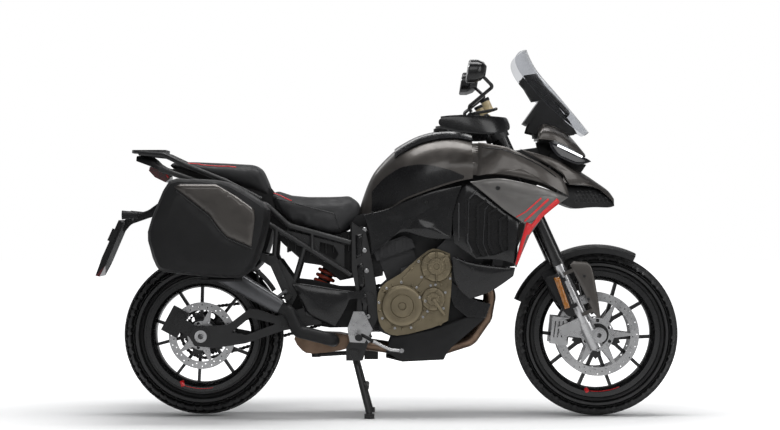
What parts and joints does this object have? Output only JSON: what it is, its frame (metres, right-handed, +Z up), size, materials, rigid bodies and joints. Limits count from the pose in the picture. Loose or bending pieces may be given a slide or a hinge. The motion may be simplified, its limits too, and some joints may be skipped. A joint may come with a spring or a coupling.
{
  "type": "adventure motorcycle",
  "caption": "Adventure motorcycle with windscreen, beak fairing, cast wheels, chain drive and hinged side cases, standing on its centre stand.",
  "frame": {"origin": "on the floor under the middle of the machine's bounding box", "axes": "+X forward, +Y to the rider's left, +Z up"},
  "size_m": [2.316, 0.972, 1.459],
  "materials": {
    "paint": "warm dark metallic satin",
    "wing": "light grey satin with red stripes",
    "black_plastic": "grained black",
    "gloss_black": "gloss black",
    "frame_metal": "dark grey cast",
    "engine_metal": "dark grey cast",
    "cover_bronze": "bronze cast covers",
    "aluminium": "cast and machined",
    "steel": "ground steel",
    "exhaust_steel": "heat-tinted",
    "silencer": "satin grey",
    "spring": "red spring",
    "tyre": "road rubber",
    "rim": "gloss black",
    "rubber": "grips",
    "seat": "grained cover",
    "lamp_red": "dark red lens",
    "lamp_clear": "clear lens",
    "screen": "smoke clear"
  },
  "bodies": {
    "chassis": {"main_frame": "frame_metal", "subframe": "frame_metal", "engine": "engine_metal", "engine_covers": "cover_bronze", "radiator": "frame_metal", "exhaust": "exhaust_steel", "silencer": "silencer", "swingarm": "frame_metal", "rear_shock": "spring", "chain": "steel", "rear_axle": "steel", "rear_caliper": "aluminium", "rear_hugger": "black_plastic", "fuel_tank": "paint", "tank_cover": "black_plastic", "frame_covers": "black_plastic", "rider_seat": "seat", "pillion_seat": "seat", "tail_unit": "black_plastic", "luggage_rack": "frame_metal", "tail_lamp": "lamp_red", "plate_holder": "black_plastic", "case_right": "black_plastic", "case_left": "black_plastic", "upper_fairing": "paint", "wing_panels": "wing", "vent_panels": "black_plastic", "beak": "paint", "inner_cowl": "black_plastic", "headlamps": "lamp_clear", "windscreen": "screen", "instrument": "black_plastic", "lower_cowl": "black_plastic", "belly_pan": "black_plastic", "foot_controls": "aluminium"},
    "steering": {"fork_clamps": "frame_metal", "fork_tubes": "frame_metal", "fork_sliders": "aluminium", "front_fender": "black_plastic", "fork_guards": "paint", "front_calipers": "aluminium", "handlebar": "frame_metal", "bar_controls": "rubber", "hand_guards": "black_plastic", "mirrors": "gloss_black", "front_axle": "steel"},
    "front_wheel": {"front_rim": "rim", "front_tyre": "tyre", "front_discs": "steel"},
    "rear_wheel": {"rear_rim": "rim", "rear_tyre": "tyre", "rear_disc": "steel", "rear_sprocket": "steel"},
    "centre_stand": {"centre_stand": "frame_metal"},
    "side_stand": {"side_stand": "frame_metal"},
    "lid_right": {"case_lid_right": "black_plastic"},
    "lid_left": {"case_lid_left": "black_plastic"}
  },
  "joints": [
    {"name": "steering", "type": "hinge", "parent": "chassis", "child": "steering", "pos_m": [0.9345, 0, 0], "axis": [-0.4147, 0, 0.91], "range_deg": [-36, 36]},
    {"name": "front_wheel_spin", "type": "hinge", "parent": "steering", "child": "front_wheel", "pos_m": [0.832, 0, 0.326], "axis": [0, 1, 0], "continuous": true},
    {"name": "rear_wheel_spin", "type": "hinge", "parent": "chassis", "child": "rear_wheel", "pos_m": [-0.735, 0, 0.323], "axis": [0, 1, 0], "continuous": true},
    {"name": "centre_stand_fold", "type": "hinge", "parent": "chassis", "child": "centre_stand", "pos_m": [-0.135, 0, 0.25], "axis": [0, 1, 0], "range_deg": [0, 100]},
    {"name": "side_stand_fold", "type": "hinge", "parent": "chassis", "child": "side_stand", "pos_m": [-0.062, 0.182, 0.244], "axis": [0, 0.9397, 0.342], "range_deg": [-100, 0]},
    {"name": "case_lid_right_open", "type": "hinge", "parent": "chassis", "child": "lid_right", "pos_m": [-0.64, -0.35, 0.551], "axis": [1, 0, 0], "range_deg": [0, 75]},
    {"name": "case_lid_left_open", "type": "hinge", "parent": "chassis", "child": "lid_left", "pos_m": [-0.64, 0.35, 0.551], "axis": [-1, 0, 0], "range_deg": [0, 75]}
  ]
}
